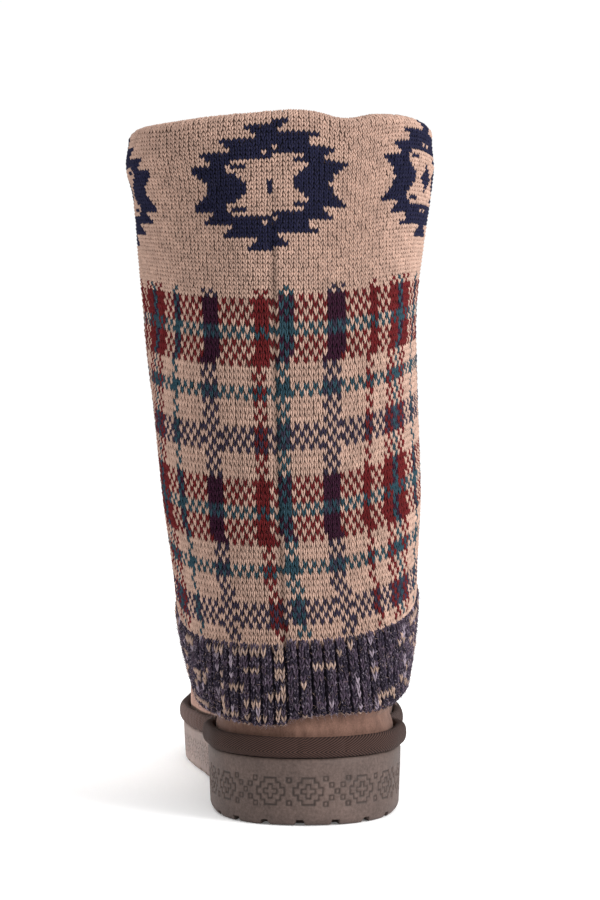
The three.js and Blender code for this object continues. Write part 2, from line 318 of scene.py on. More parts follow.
# ---- Shaders: noise scales are per metre, bump depths in millimetres ----
def join(tree, socket, value):
    """Sets a socket to a constant or links another socket to it."""
    value = value.socket if isinstance(value, Value) else value
    if isinstance(value, bpy.types.NodeSocket):
        tree.links.new(value, socket)
    else:
        socket.default_value = value


def add_node(tree, kind, settings=None, inputs=None):
    node = tree.nodes.new(kind)
    for name, value in (settings or {}).items():
        setattr(node, name, value)
    for key, value in (inputs or {}).items():
        join(tree, node.inputs[key], value)
    return node


class Value:
    """A socket whose arithmetic adds Math nodes."""

    def __init__(self, shader, socket):
        self.shader = shader
        self.socket = socket

    def math(self, operation, *others):
        values = dict(enumerate((self, *others)))
        return self.shader.node("ShaderNodeMath", {"operation": operation}, values)

    def __rsub__(self, other):
        return self.shader.node("ShaderNodeMath", {"operation": "SUBTRACT"}, {0: other, 1: self})

    __add__ = __radd__ = partialmethod(math, "ADD")
    __mul__ = __rmul__ = partialmethod(math, "MULTIPLY")
    __sub__ = partialmethod(math, "SUBTRACT")
    __mod__ = partialmethod(math, "FLOORED_MODULO")
    absolute = partialmethod(math, "ABSOLUTE")
    clipped = partialmethod(math, "MAXIMUM", 0.0)


class Shader:
    """One material with a principled finish; constants go on the finish's own sockets."""

    def __init__(self, name, **constants):
        self.material = bpy.data.materials.new(name)
        self.material.use_nodes = True
        self.tree = self.material.node_tree
        self.finish = self.tree.nodes["Principled BSDF"]
        for socket, value in constants.items():
            self.finish.inputs[socket.replace("_", " ")].default_value = value

    def node(self, kind, settings=None, inputs=None, output=0):
        return Value(self, add_node(self.tree, kind, settings, inputs).outputs[output])

    def feed(self, **links):
        for socket, value in links.items():
            join(self.tree, self.finish.inputs[socket.replace("_", " ")], value)
        return self.material

    def own_yarn(self, output="Color"):
        return self.node("ShaderNodeAttribute", {"attribute_name": "yarn"}, output=output)

    def object_place(self):
        return self.node("ShaderNodeTexCoord", output="Object")

    def surface_place(self, scale):
        uv = self.node("ShaderNodeUVMap", {"uv_map": "surface"})
        return self.node("ShaderNodeMapping", inputs={"Vector": uv, "Scale": scale})

    def parts(self, vector):
        split = self.node("ShaderNodeSeparateXYZ", inputs={0: vector})
        return split, Value(self, split.socket.node.outputs[1])

    def noise(self, place, scale, detail=3.0, roughness=0.6):
        inputs = {"Vector": place, "Scale": scale, "Detail": detail, "Roughness": roughness}
        return self.node("ShaderNodeTexNoise", inputs=inputs)

    def ramp(self, value, low, high):
        inputs = {"Value": value, "From Min": low, "From Max": high}
        return self.node("ShaderNodeMapRange", {"clamp": True}, inputs)

    def blend(self, factor, a, b, mode="MIX"):
        settings = {"data_type": "RGBA", "blend_type": mode, "clamp_factor": True}
        return self.node("ShaderNodeMix", settings, {0: factor, 6: a, 7: b}, output=2)

    def shaded(self, tone, *shade):
        return self.blend(1.0, tone, (*shade, 1), "MULTIPLY")

    def bump(self, height, depth_mm, strength=1.0):
        inputs = {"Strength": strength, "Distance": depth_mm * MM, "Height": height}
        return self.node("ShaderNodeBump", inputs=inputs)


def colour(red, green, blue):
    """A screen colour of 0 to 255 steps as linear light, with full cover."""
    steps = np.array([red, green, blue]) / 255
    linear = np.where(steps <= 0.04045, steps / 12.92, ((steps + 0.055) / 1.055) ** 2.4)
    return (*linear.tolist(), 1.0)


YARNS = {
    "tan": colour(172, 144, 130),
    "navy": colour(29, 30, 52),
    "red": colour(90, 26, 28),
    "teal": colour(40, 64, 74),
    "plum": colour(46, 19, 36),
    "slate": colour(47, 42, 57),
    "marl": colour(39, 34, 46),
    "dusk": colour(63, 53, 66),
    "lilac": colour(140, 128, 140),
    "fleck": colour(156, 133, 120),
}


def yarn_material():
    """Spun yarn: the stitch's own colour with fibre streaks and a soft halo."""
    shader = Shader("yarn", Roughness=0.95, Sheen_Weight=0.02, Specular_IOR_Level=0.06)
    place = shader.object_place()
    own = shader.own_yarn()
    plain = shader.own_yarn("Alpha")
    fibre = shader.noise(place, 2600.0, 4.0, 0.7)
    patch = shader.noise(place, 160.0, 2.0)
    speck = shader.ramp(shader.noise(place, 950.0, 3.0, 0.7), 0.54, 0.66)
    shade = shader.ramp(fibre * 0.65 + patch * 0.35, 0.32, 0.68)
    spun = shader.blend(shade, shader.shaded(own, 0.66, 0.64, 0.64), shader.shaded(own, 1.26, 1.24, 1.22))
    marled = shader.blend(speck * (1 - plain), spun, YARNS["lilac"])
    return shader.feed(Base_Color=marled, Normal=shader.bump(fibre, 0.12, 0.7))


def cloth_material():
    """The knit seen between and beyond the stitches: the same V's as a relief, coloured from that relief
    with painted shade in its hollows and painted light on its legs.
    """
    shader = Shader("knit_cloth", Roughness=0.95, Specular_IOR_Level=0.12)
    own = shader.own_yarn()
    stitches = shader.surface_place((STITCHES_ROUND, CLOTH_ROWS, 1))
    across, up = shader.parts(stitches)
    side = (across % 1 - 0.5).absolute()
    leg = ((side - 0.26).absolute() * -4 + 1).clipped()
    link = ((up + side * 0.9) % 1 - 0.5).absolute() * -1.6 + 1
    fibre = shader.noise(shader.object_place(), 2600.0, 3.0, 0.7)
    relief = leg * link
    shade = shader.ramp(relief * 0.75 + fibre * 0.25, 0.1, 0.75)
    # Painted light and shade: the relief picks between a darkened and a lightened copy of the cloth's
    # colour.
    tone = shader.blend(shade, shader.shaded(own, 0.5, 0.47, 0.46), shader.shaded(own, 1.35, 1.33, 1.32))
    return shader.feed(Base_Color=tone, Normal=shader.bump(relief, 0.6, 0.9))


def suede_material():
    """Brushed suede: short nap that lies light and dark in patches."""
    shader = Shader("suede", Roughness=0.95, Sheen_Weight=0.08, Specular_IOR_Level=0.2)
    place = shader.object_place()
    nap = shader.noise(place, 1900.0, 3.0, 0.7)
    stroke = shader.node("ShaderNodeMapping", inputs={"Vector": place, "Scale": (1.0, 1.0, 0.4)})
    brushed = shader.noise(stroke, 260.0, 6.0, 0.7)
    patch = shader.noise(place, 45.0, 3.0)
    shade = shader.ramp(brushed * 0.5 + nap * 0.33 + patch * 0.17, 0.34, 0.66)
    tone = shader.blend(shade, colour(74, 52, 44), colour(126, 95, 82))
    return shader.feed(Base_Color=tone, Normal=shader.bump(nap, 0.10, 0.6))


def tape_material():
    """Herringbone cotton tape, dark brown: slanting ridges that turn back at a low break, with painted
    shade between them.
    """
    shader = Shader("herringbone_tape", Roughness=0.88, Specular_IOR_Level=0.2)
    place = shader.object_place()
    thread = shader.noise(place, 1500.0, 3.0, 0.7)
    wear = shader.noise(place, 110.0, 3.0)
    run, rise = shader.parts(shader.surface_place((TAPE_UNIT, TAPE_UNIT, 1)))
    slant = (rise - RIDGE_BREAK).absolute() * RIDGE_SLANT
    wave = ((run - slant) * (1 / RIDGE_PITCH)) % 1 - 0.5
    ridge = shader.ramp(wave.absolute(), 0.12, 0.38)
    # Partly painted: the ridges give painted shade between them and painted light on their tops; thread and
    # wear noise are the tape's own tone.
    shade = shader.ramp(ridge * 0.75 + thread * 0.2 + wear * 0.2, 0.1, 1.0)
    tone = shader.blend(shade, colour(8, 4, 3), colour(68, 47, 41))
    return shader.feed(Base_Color=tone, Normal=shader.bump(ridge * 0.8 + thread * 0.2, 0.3, 0.7))


def rubber_material():
    """Moulded foam rubber: taupe, finely grained, with darker mottling and painted shade in the band's sunk
    lines.
    """
    shader = Shader("sole_rubber", Roughness=0.72, Specular_IOR_Level=0.35)
    place = shader.object_place()
    grain = shader.noise(place, 900.0, 4.0, 0.7)
    mottle = shader.noise(place, 60.0, 4.0, 0.65)
    sunk = shader.own_yarn("Fac")
    shade = shader.ramp(mottle * 0.45 + grain * 0.55, 0.36, 0.64)
    tone = shader.blend(shade, colour(57, 44, 39), colour(91, 75, 69))
    # Painted shade: the band's sunk lines coloured darker, as shadow in the grooves.
    line_shaded_tone = shader.blend(sunk * 0.8, tone, colour(42, 32, 28))
    gloss = shader.ramp(mottle, 0.3, 0.7) * 0.14 + 0.62
    return shader.feed(Base_Color=line_shaded_tone, Roughness=gloss, Normal=shader.bump(grain, 0.10, 0.6))


def fleece_material(name, low, high):
    """Short curly pile."""
    shader = Shader(name, Roughness=0.97, Sheen_Weight=0.3)
    place = shader.object_place()
    curl = shader.noise(place, 420.0, 5.0, 0.7)
    patch = shader.noise(place, 60.0, 2.0)
    shade = shader.ramp(curl * 0.7 + patch * 0.3, 0.34, 0.66)
    return shader.feed(Base_Color=shader.blend(shade, low, high), Normal=shader.bump(curl, 0.9, 0.8))


def floor_material():
    """Pale matt floor."""
    shader = Shader("studio_floor", Roughness=0.9, Emission_Color=(1, 1, 1, 1), Emission_Strength=0.1)
    grain = shader.noise(shader.object_place(), 40.0, 2.0)
    tone = shader.blend(grain, (0.975, 0.975, 0.975, 1), (1, 1, 1, 1))
    return shader.feed(Base_Color=tone)


# ---- Knit fabric ----
STITCHES_ROUND = 190
TAN_ROWS, PLAID_ROWS, FOLDED_ROWS = 45, 53, 8
LEG_ROWS = TAN_ROWS + PLAID_ROWS
# Rows of the cloth inside the boot: its face, then its back there and up the leg.
FACE_INSIDE, BACK_INSIDE, BACK_ROWS = 18, 10, 30
CLOTH_TUCK = 2.0
# Painted shade: the cloth under the stitches is coloured darker so the gaps between stitches read as
# shadow.
CLOTH_SHADE = (0.62, 0.60, 0.60, 1)
CLOTH_ROWS = 1 + LEG_ROWS + FACE_INSIDE + BACK_INSIDE + BACK_ROWS
BAND_FOOT_HEIGHT = 213.9
ROW_STRETCH = 0.04
FOLD_REACH, FOLD_RISE, FOLD_MIDDLE = 4.8, 3.3, -1.5
FOLD_RUN = 6.45
ROLL_IN = 2.4
SEAM_HIGH, SEAM_LOW = math.radians(-3.2), math.radians(-5.2)
STITCH_SINK = 0.35
# The cloth's broad waves: size, waves round, change with height, start. Then the heights between
# which each change of the cloth sets in, and the heights of a fold and of the inner side's bulge.
SLACK_WAVES = ((0.8, 3, 0.035, 0), (0.6, 5, -0.05, 1.3))
SWELL_HEIGHTS, LEAN_HEIGHTS, RIM_HEIGHTS, WAVE_HEIGHTS = (76, 130), (100, 200), (268, 287), (222, 284)
FOLD_HEIGHT, BULGE_HEIGHT = 205, 277
# The rim's dips and rises: height, turn of the middle and width.
RIM_HUMPS = ((-2.6, 0.43, 0.17), (-1.0, -0.75, 0.3), (0.9, 0.08, 0.22), (1.2, 1.05, 0.3))
SEAM_STEP = 1.8
SIDE_RISE = 4.6
INNER_RISE = 3.4
SEAM_GROOVE = 1.1
BAND_RUN = FOLD_RUN + COLLAR_HEIGHT - BAND_FOOT_HEIGHT
LEG_RUN = FOLD_RUN + COLLAR_HEIGHT - CUFF_TOP_HEIGHT
FINE_LEVELS = np.linspace(FEATHER, COLLAR, 681)
FINE_HEIGHTS = smooth(UPPER, "level", "backZ", FINE_LEVELS)

YARN_NAMES = list(YARNS)
YARN_COLOURS = np.array([YARNS[name] for name in YARN_NAMES])
TAN, NAVY, RED, TEAL, PLUM, SLATE, MARL, DUSK, LILAC, FLECK = range(len(YARN_NAMES))

# Half widths, in stitches, of the star's rows from its tip to its middle; then its pale heart.
STAR_ROWS = (4, 3, 2, 9.5, 8, 7.5, 13, 12, 11, 15.5, 15, 14, 13, 12.5, 12)
HEART_ROWS = {8: 7, 9: 8, 10: 8, 11: 6.5, 12: 5.5, 13: 4.5, 14: 4.5}
STAR_FIRST_ROW = 5
STAR_MIDDLE = len(STAR_ROWS) - 1
STAR_COLUMNS = (-0.6, 39.8, 76.5, -79.0, -42.5)
# Plaid: bands from the top in rows, then stripes as first column, width and yarn.
PLAID_BANDS = ((RED, 4), (TEAL, 2), (RED, 4), (TAN, 3), (TEAL, 2), (TAN, 4), (NAVY, 4), (TAN, 4))
PLAID_STRIPES = (
    (-4, 8, RED), (-1, 2, TEAL), (8, 2, TEAL), (17, 4, SLATE),
    (29, 3, RED), (34, 3, TEAL), (44, 4, SLATE), (54, 2, RED),
)
STRIPE_REPEATS = (-33.5, 30.5, 93.5)
STRIPE_FIRST_ROW, STRIPE_LAST_ROW = -2, 52


def level_at(height):
    return np.interp(height, FINE_HEIGHTS, FINE_LEVELS)


def height_at(level):
    return np.interp(level, FINE_LEVELS, FINE_HEIGHTS)


def seam_turn(down):
    """The joining seam leans: its turn at a way down from the fold's crest."""
    return mix(SEAM_HIGH, SEAM_LOW, np.clip(down / LEG_RUN, 0, 1))


def soft_step(low, high, value):
    t = np.clip((value - low) / (high - low), 0, 1)
    return t * t * (3 - 2 * t)


def rim_wave(turn):
    """Gentle rise and dip of the rolled rim."""
    wave = 1.6 * np.sin(2 * turn + 2.2) * (1 - np.cos(turn)) / 2
    for height, middle, width in RIM_HUMPS:
        wave = wave + height * bump_shape(wrapped(turn - middle), width)
    return wave


def slack(turn, height):
    """How far the leg's cloth swells out: broad waves, and the rim drawn in at its sides."""
    swell = 0.0
    for size, round_it, upwards, start in SLACK_WAVES:
        swell = swell + size * np.sin(round_it * turn + upwards * height + start)
    fold = 1.1 * bump_shape(height - FOLD_HEIGHT, 16) * np.sin(2 * turn + 0.5)
    lean = -1.5 * np.sin(turn) * soft_step(*LEAN_HEIGHTS, height)
    lean = lean + 2.0 * bump_shape(height - BULGE_HEIGHT, 9) * np.maximum(-np.sin(turn), 0)
    drawn_in = ROLL_IN * soft_step(*RIM_HEIGHTS, height) * np.sin(turn) ** 2
    return (swell + fold) * soft_step(*SWELL_HEIGHTS, height) + lean - drawn_in


def knit_point(turn, down, out):
    """Point of the sleeve's face; down runs from the fold's crest and is negative inside it."""
    turn, down, out = np.broadcast_arrays(turn, down, out)
    height = COLLAR_HEIGHT - np.maximum(np.abs(down) - FOLD_RUN, 0)
    angle = np.clip(down / FOLD_RUN, -1, 1) * (math.pi / 2)
    reach = FOLD_MIDDLE + (FOLD_REACH + out) * np.sin(angle) + slack(turn, height)
    point = off_upper(turn, level_at(height), reach, (FOLD_RISE + out) * np.cos(angle))
    point[..., 2] += rim_wave(turn) * soft_step(*WAVE_HEIGHTS, height)
    return point


def row_rise(turn, down):
    """How much higher the rows lie: a step right of the seam, and a pull up on both sides."""
    past_seam = (turn - seam_turn(down)) % TAU
    pull = soft_step(0.1, 1.3, past_seam) * (1 - soft_step(2.2, 3.4, past_seam))
    other = bump_shape(past_seam - TAU + 1.45, 0.75) * (1 - soft_step(60, 140, down))
    return SEAM_STEP * (1 - past_seam / TAU) + SIDE_RISE * pull + INNER_RISE * other


def stitched_point(turn, down, out):
    """The same face counted in rows, which climb past the seam."""
    groove = SEAM_GROOVE * bump_shape(wrapped(turn - seam_turn(down)), 0.02) * soft_step(20, 90, down)
    return knit_point(turn, down - row_rise(turn, down) * soft_step(-12, 6, down), out - groove)


def surface_frame(place, turn, down, out, step_down=0.3):
    """A surface's points, their stretch across, and their up and outward directions."""
    step_turn = 0.004
    point = place(turn, down, out)
    across = place(turn + step_turn, down, out) - place(turn - step_turn, down, out)
    upwards = place(turn, down - step_down, out) - place(turn, down + step_down, out)
    outward = unit(np.cross(across, upwards))
    return point, across / (2 * step_turn), unit(upwards), outward


def star_yarn(column, row):
    """Five stepped stars round the tan band."""
    side = np.min([np.abs(column - middle) for middle in STAR_COLUMNS], axis=0)
    step = row - STAR_FIRST_ROW
    step = np.where(step > STAR_MIDDLE, 2 * STAR_MIDDLE - step, step)
    inside = step >= 0
    hearts = np.array([HEART_ROWS.get(i, -1) for i in range(STAR_MIDDLE + 1)])
    half, heart = np.array(STAR_ROWS)[np.maximum(step, 0)], hearts[np.maximum(step, 0)]
    navy = inside & (side <= half) & (side > heart)
    navy |= inside & (step == 9) & (side > 4.2) & (side < 7.2)
    diamond = np.where(np.abs(column) < 19, 0.6 * (step > 12), 0.8 * (step - 10.5))
    navy |= inside & (side <= diamond)
    pale = inside & (step == 6) & (side > 0.4) & (side < 1.6)
    return np.where(navy & ~pale, NAVY, TAN)


def stripe_yarn(column, row):
    """Upright stripes of the plaid; they waver by a stitch as they go down."""
    yarn = np.full(column.shape, TAN)
    sway = np.round(2.0 * soft_step(36, 56, row) - 1.2 * bump_shape(row - 22, 14))
    for start in STRIPE_REPEATS:
        place = (column - start - sway + 20) % STITCHES_ROUND - 20
        for first, width, name in PLAID_STRIPES:
            yarn = np.where((place >= first) & (place < first + width), name, yarn)
    return yarn


def plaid_yarn(column, row):
    """Tartan: every other stitch takes the stripe's yarn, the rest the band's."""
    order = np.concatenate([np.full(count, name) for name, count in PLAID_BANDS * 2] + [[TAN, TAN]])
    band = np.where(row < 0, TAN, order[np.clip(row, 0, len(order) - 1)])
    stripe = stripe_yarn(column, row)
    stripe = np.where((row >= STRIPE_FIRST_ROW) & (row < STRIPE_LAST_ROW), stripe, TAN)
    band = np.where(band == NAVY, SLATE, band)
    deep = (band == RED) & ((stripe == SLATE) | (stripe == TEAL))
    band = np.where((band == SLATE) & (stripe == SLATE), TAN, band)
    yarn = np.where((row + column.astype(int)) % 2 == 0, stripe, band)
    return np.where(deep & (yarn != TEAL), PLUM, yarn)


def chart_yarn(column, row):
    """Yarn of a stitch; column from the seam to the outer side, row down from the fold."""
    signed = (column + STITCHES_ROUND / 2) % STITCHES_ROUND - STITCHES_ROUND / 2
    plaid = plaid_yarn(np.floor(signed), row - TAN_ROWS)
    return np.where(row < TAN_ROWS - 2, star_yarn(signed, row), plaid)


def row_down(row):
    """Way down to a row; the plaid's rows are taller than the tan band's."""
    band = row * (BAND_RUN / TAN_ROWS)
    share = (row - TAN_ROWS) / PLAID_ROWS
    plaid = BAND_RUN + (LEG_RUN - BAND_RUN) * share * (1 + ROW_STRETCH - ROW_STRETCH * share)
    return np.where(row < TAN_ROWS, band, plaid)


def spindle(name, around, points):
    """A small mesh the stitch tree repeats: a tip, rings of points round the yarn, and a tip."""
    last = len(points) - 1
    faces = []
    for j in range(around):
        following = (j + 1) % around
        faces.append((0, 1 + following, 1 + j))
        for ring in range(1, last - around, around):
            faces.append((ring + j, ring + following, ring + around + following, ring + around + j))
        faces.append((last - around + j, last - around + following, last))
    mesh = bpy.data.meshes.new(name)
    mesh.from_pydata([tuple(point) for point in points], [], faces)
    mesh.polygons.foreach_set("use_smooth", [True] * len(mesh.polygons))
    return placed(name, mesh)


def stitch_shape(half_leg):
    """One V of yarn in its own size: a leg, the low middle and a leg, pointed at both ends."""
    out, high, low = 0.44, 0.98, -0.5
    leg_up, leg_loft, low_loft = 0.16, 0.55, 0.42
    rings = (
        ((-0.27, leg_up, 0.12), (half_leg, 0.07, 0), leg_loft),
        ((0.0, -0.62, -0.12), (0, 1.3 * half_leg, 0), low_loft),
        ((0.27, leg_up, 0.12), (-half_leg, 0.07, 0), leg_loft),
    )
    points = [(-out, high, low)]
    for middle, side, loft in rings:
        middle, side, lift = np.array(middle), np.array(side), np.array((0, 0, loft))
        points += [middle + side, middle + lift, middle - side, middle - lift]
    return spindle("stitch", 4, [*points, (out, high, low)])


def fibre_shape():
    """One stray fibre: a bent spindle of a unit's length along Y."""
    points = [(0, 0, -0.2)]
    for angle in (0, TAU / 3, 2 * TAU / 3):
        points.append((FIBRE_HALF * math.sin(angle), 0.45, 0.30 + FIBRE_HALF * math.cos(angle)))
    return spindle("fibre", 3, [*points, (0, 1, 0.45)])


STITCH_INPUTS = (
    ("Points", "Geometry", None),
    ("Stitch", "Object", None),
    ("Yarn thickness", "Float", 1.0),
    ("Unevenness", "Float", 0.08),
    ("Seed", "Int", 7),
    ("Finish", "Material", None),
)


def tree_sockets(tree):
    """Gives the stitch tree its output and inputs, and tells the inputs' keys."""
    tree.interface.new_socket("Geometry", in_out="OUTPUT", socket_type="NodeSocketGeometry")
    keys = {}
    for name, kind, default in STITCH_INPUTS:
        made = tree.interface.new_socket(name, in_out="INPUT", socket_type="NodeSocket" + kind)
        if default is not None:
            made.default_value = default
        keys[name] = made.identifier
    return keys


def stitch_tree():
    """Geometry Nodes: one stitch on every point, turned and fitted by what the points carry."""
    tree = bpy.data.node_groups.new("rows_of_stitches", "GeometryNodeTree")
    keys = tree_sockets(tree)

    def node(kind, inputs=None, **settings):
        return add_node(tree, kind, settings, inputs).outputs[0]

    def stored(name):
        return node("GeometryNodeInputNamedAttribute", {"Name": name}, data_type="FLOAT_VECTOR")

    def product(first, second):
        return node("ShaderNodeVectorMath", {0: first, 1: second}, operation="MULTIPLY")

    given = add_node(tree, "NodeGroupInput").outputs
    facing = {0: stored("out"), 1: stored("up")}
    turned = node("FunctionNodeAxesToRotation", facing, primary_axis="Z", secondary_axis="Y")
    spread = {0: 1.0, 1: given["Unevenness"]}
    limits = [node("ShaderNodeMath", spread, operation=way) for way in ("SUBTRACT", "ADD")]
    chance = {0: limits[0], 1: limits[1], "Seed": given["Seed"]}
    uneven = node("FunctionNodeRandomValue", chance, data_type="FLOAT_VECTOR")
    loft = node("ShaderNodeCombineXYZ", {0: 1.0, 1: 1.0, 2: given["Yarn thickness"]})
    scale = product(product(stored("size"), uneven), loft)
    own_space = {"transform_space": "ORIGINAL"}
    shape = add_node(tree, "GeometryNodeObjectInfo", own_space, {"Object": given["Stitch"]})
    row = {"Points": given["Points"], "Instance": shape.outputs["Geometry"]}
    row |= {"Rotation": turned, "Scale": scale}
    real = node("GeometryNodeRealizeInstances", {0: node("GeometryNodeInstanceOnPoints", row)})
    dressed = node("GeometryNodeSetMaterial", {"Geometry": real, "Material": given["Finish"]})
    add_node(tree, "NodeGroupOutput", None, {0: dressed})
    return tree, keys


def stitch_points(name, places, width, height, yarn):
    """A cloud of points, each carrying its directions, size and yarn colour."""
    point, _, upwards, outward = places
    size = np.stack([width, height, np.ones_like(width)], -1) * MM
    cloud = new_mesh(name + "_places", point, np.zeros((0, 3), int), yarn=yarn)
    for key, values in (("out", outward), ("up", upwards), ("size", size)):
        store(cloud.data, key, "FLOAT_VECTOR", "vector", values)
    return cloud


def knit_piece(name, tools, seed, places, width, height, yarn, unevenness=0.07):
    """Runs the stitch tree on a cloud of places and keeps the plain mesh it makes."""
    tree, keys, shape = tools
    cloud = stitch_points(name, places, width, height, yarn)
    stitches = cloud.modifiers.new("stitches", "NODES")
    stitches.node_group = tree
    given = {
        "Stitch": shape,
        "Yarn thickness": 1.0,
        "Unevenness": unevenness,
        "Seed": seed,
        "Finish": MATERIALS["yarn"],
    }
    for key, value in given.items():
        stitches[keys[key]] = value
    bpy.context.view_layer.update()
    seen = cloud.evaluated_get(bpy.context.evaluated_depsgraph_get())
    mesh = bpy.data.meshes.new_from_object(seen)
    mesh.name = name
    cloud.modifiers.remove(stitches)
    discard(cloud)
    for extra in ("out", "up", "size"):
        if extra in mesh.attributes:
            mesh.attributes.remove(mesh.attributes[extra])
    return finish_piece(placed(name, mesh), "yarn", "knit")


def heathered(yarn, random, spread=0.10, plain=0.95):
    """Yarn colours, each stitch a little lighter or darker than the next, and how plain they are."""
    shade = 1 + random.uniform(-spread, spread, yarn.shape)
    colours = YARN_COLOURS[yarn] * shade[..., None]
    colours[..., 3] = plain
    return colours


def leg_stitches(name, first_row, last_row, seed, tools):
    """The sleeve's stitches between two rows."""
    random = np.random.default_rng(seed)
    row, column = np.meshgrid(np.arange(first_row, last_row), np.arange(STITCHES_ROUND), indexing="ij")
    down = row_down(row + 0.5)
    turn = seam_turn(down) + (column + 0.5) * TAU / STITCHES_ROUND
    turn = turn + random.normal(0, 0.0018, turn.shape)
    down = down + random.normal(0, 0.10, down.shape)
    out = random.normal(0, 0.07, turn.shape) - STITCH_SINK
    places = surface_frame(stitched_point, turn, down, out)
    width = length_of(places[1]) * TAU / STITCHES_ROUND
    foot, head = (stitched_point(turn, row_down(edge), 0) for edge in (row + 1.0, row + 0.0))
    tall = length_of(foot - head)
    yarn = heathered(chart_yarn(column + 0.5, np.maximum(row, 0)), random)
    beside_seam = (column == 0) | (column == STITCHES_ROUND - 1)
    yarn[..., :3] *= (1 - 0.3 * beside_seam * soft_step(15, 90, down))[..., None]
    return knit_piece(name, tools, seed, places, width * 1.02, tall * 1.04, yarn)


def sleeve_columns(down):
    """Turns of the stitch columns at ways down from the fold, and those ways to match."""
    turn = seam_turn(down)[:, None] + (np.arange(STITCHES_ROUND) + 0.5) * TAU / STITCHES_ROUND
    return turn, np.broadcast_to(down[:, None], turn.shape)


def sleeve_base(name):
    """The cloth under the stitches: out of the cuff, up, over the fold and down inside the boot."""
    hem_run, foot_run = HEM_DEPTH + FOLD_RUN, LEG_RUN + CLOTH_TUCK
    rows = np.arange(LEG_ROWS, 0, -1)
    inside = -np.linspace(0, hem_run, FACE_INSIDE)
    turn, down = sleeve_columns(np.concatenate([[foot_run], row_down(rows), inside]))
    face = stitched_point(turn, down, 0.8 * soft_step(16, 20, -down) - 1.0)
    back_down = np.concatenate([-np.linspace(hem_run, 0, BACK_INSIDE), np.linspace(4, foot_run, BACK_ROWS)])
    back = stitched_point(*sleeve_columns(back_down), -2.8)
    plain = np.zeros(CLOTH_ROWS - 1 - LEG_ROWS, int)
    row = np.concatenate([[LEG_ROWS], rows - 1, plain])[:, None]
    column = np.broadcast_to(np.arange(STITCHES_ROUND) + 0.5, (CLOTH_ROWS, STITCHES_ROUND))
    # Painted shade: the chart's colours darkened by CLOTH_SHADE, so the cloth in the gaps between stitches
    # reads as shadow.
    yarn = YARN_COLOURS[chart_yarn(column, np.broadcast_to(row, column.shape))] * CLOTH_SHADE
    return ring_piece(name, np.concatenate([face, back]), yarn)


# ---- Ribbed cuff ----
RIBS = 84
CUFF_ROWS = 14
CUFF_STEP = 0.01
CUFF_LEVEL = 9.0
CUFF_START = CUFF_TOP + 0.12
CUFF_END = HEM - 0.05
RIB_STEPS = 20
CLOTH_STEPS = 6
FIBRES = 6400
FIBRE_HALF = 0.05
# How often a rib carries pale flecks, row by row, left and right of the seam.
BUSY_LEFT = np.array([0, 0.75, 0.06, 0.12, 0.15, 0.02, 0.10, 0.32, 0.05, 0.38, 0.05, 0.40, 0.05, 0.5])
BUSY_RIGHT = np.array([0, 0.30, 0.08, 0.06, 0.12, 0.04, 0.10, 0.04, 0.10, 0.45, 0.05, 0.08, 0.05, 0.6])
RIB_FACE = FIT_GAP + RIB_THICKNESS


def even_turns(level, count, start):
    """Turns that share the way round a ring of the upper evenly."""
    fine = np.linspace(start, start + TAU, 1441)
    return spread_turns(fine, off_upper(fine, level, RIB_FACE), count)[0]


def cuff_point(turn, down, out):
    """Point of the cuff's face: down is 0 at its top edge and 1 at its hem."""
    turn, down, out = np.broadcast_arrays(turn, down, out)
    level = CUFF_START - (CUFF_START - CUFF_END) * down
    flare = 1.3 * soft_step(0.45, 1, down) * bump_shape(wrapped(turn - 1.0), 0.9)
    shoulder = -1.2 * (1 - soft_step(0, 0.10, down))
    tuck = -0.9 * soft_step(0.93, 1.0, down)
    point = off_upper(turn, level, RIB_FACE + flare + shoulder + tuck + out)
    sag = 2.0 * bump_shape(wrapped(turn + 0.15), 0.3) - 0.7 * np.sin(7 * turn + 1.0)
    point[..., 2] += row_rise(turn, LEG_RUN) - sag * soft_step(0.4, 1, down)
    return point


def cuff_yarn(column, row, random):
    """Marled yarn: charcoal and dusk with pale flecks that come in short runs."""
    shape = column.shape
    yarn = np.where(random.random(shape) < 0.42, DUSK, MARL)
    run = random.random((CUFF_ROWS, RIBS // 2 + 1))
    busy = np.where(column >= RIBS, BUSY_LEFT[row], BUSY_RIGHT[row])
    fleck = (run[row, column // 4] < busy) & (random.random(shape) < 0.75)
    fleck |= random.random(shape) < 0.03
    joined = (2 * RIBS - column <= 3) & (row % 3 > 0) & (random.random(shape) < 0.5)
    yarn = np.where(fleck | joined, FLECK, yarn)
    strand = (np.sin(column * 2.4) > 0.80) & (random.random(shape) < 0.30)
    return np.where(strand & ~fleck, LILAC, yarn)


def cuff_stitches(name, tools):
    """Two stitches side by side on every rib."""
    random = np.random.default_rng(23)
    rib_turns = even_turns(CUFF_LEVEL, RIBS * RIB_STEPS, SEAM_LOW)
    row, column = np.meshgrid(np.arange(CUFF_ROWS), np.arange(2 * RIBS), indexing="ij")
    offset = np.where(column % 2 == 0, 6.0, 14.0)
    turn = np.interp((column // 2) * RIB_STEPS + offset, np.arange(RIBS * RIB_STEPS), rib_turns)
    down = (row + 0.5) / (CUFF_ROWS - 0.6)
    turn = turn + random.normal(0, 0.002, turn.shape)
    out = random.normal(-0.15, 0.10, turn.shape)
    point, across, upwards, outward = surface_frame(cuff_point, turn, down, out, CUFF_STEP)
    lean = np.where(column % 2 == 0, -0.2, 0.2)[..., None]
    places = point, across, upwards, unit(outward + lean * unit(across))
    half_row = 0.5 / CUFF_ROWS
    tall = length_of(cuff_point(turn, down + half_row, 0) - cuff_point(turn, down - half_row, 0))
    yarn = heathered(cuff_yarn(column, row, random), random, 0.22, 0.35)
    return knit_piece(name, tools, 5, places, np.full(turn.shape, 2.3), tall * 1.05, yarn, 0.14)


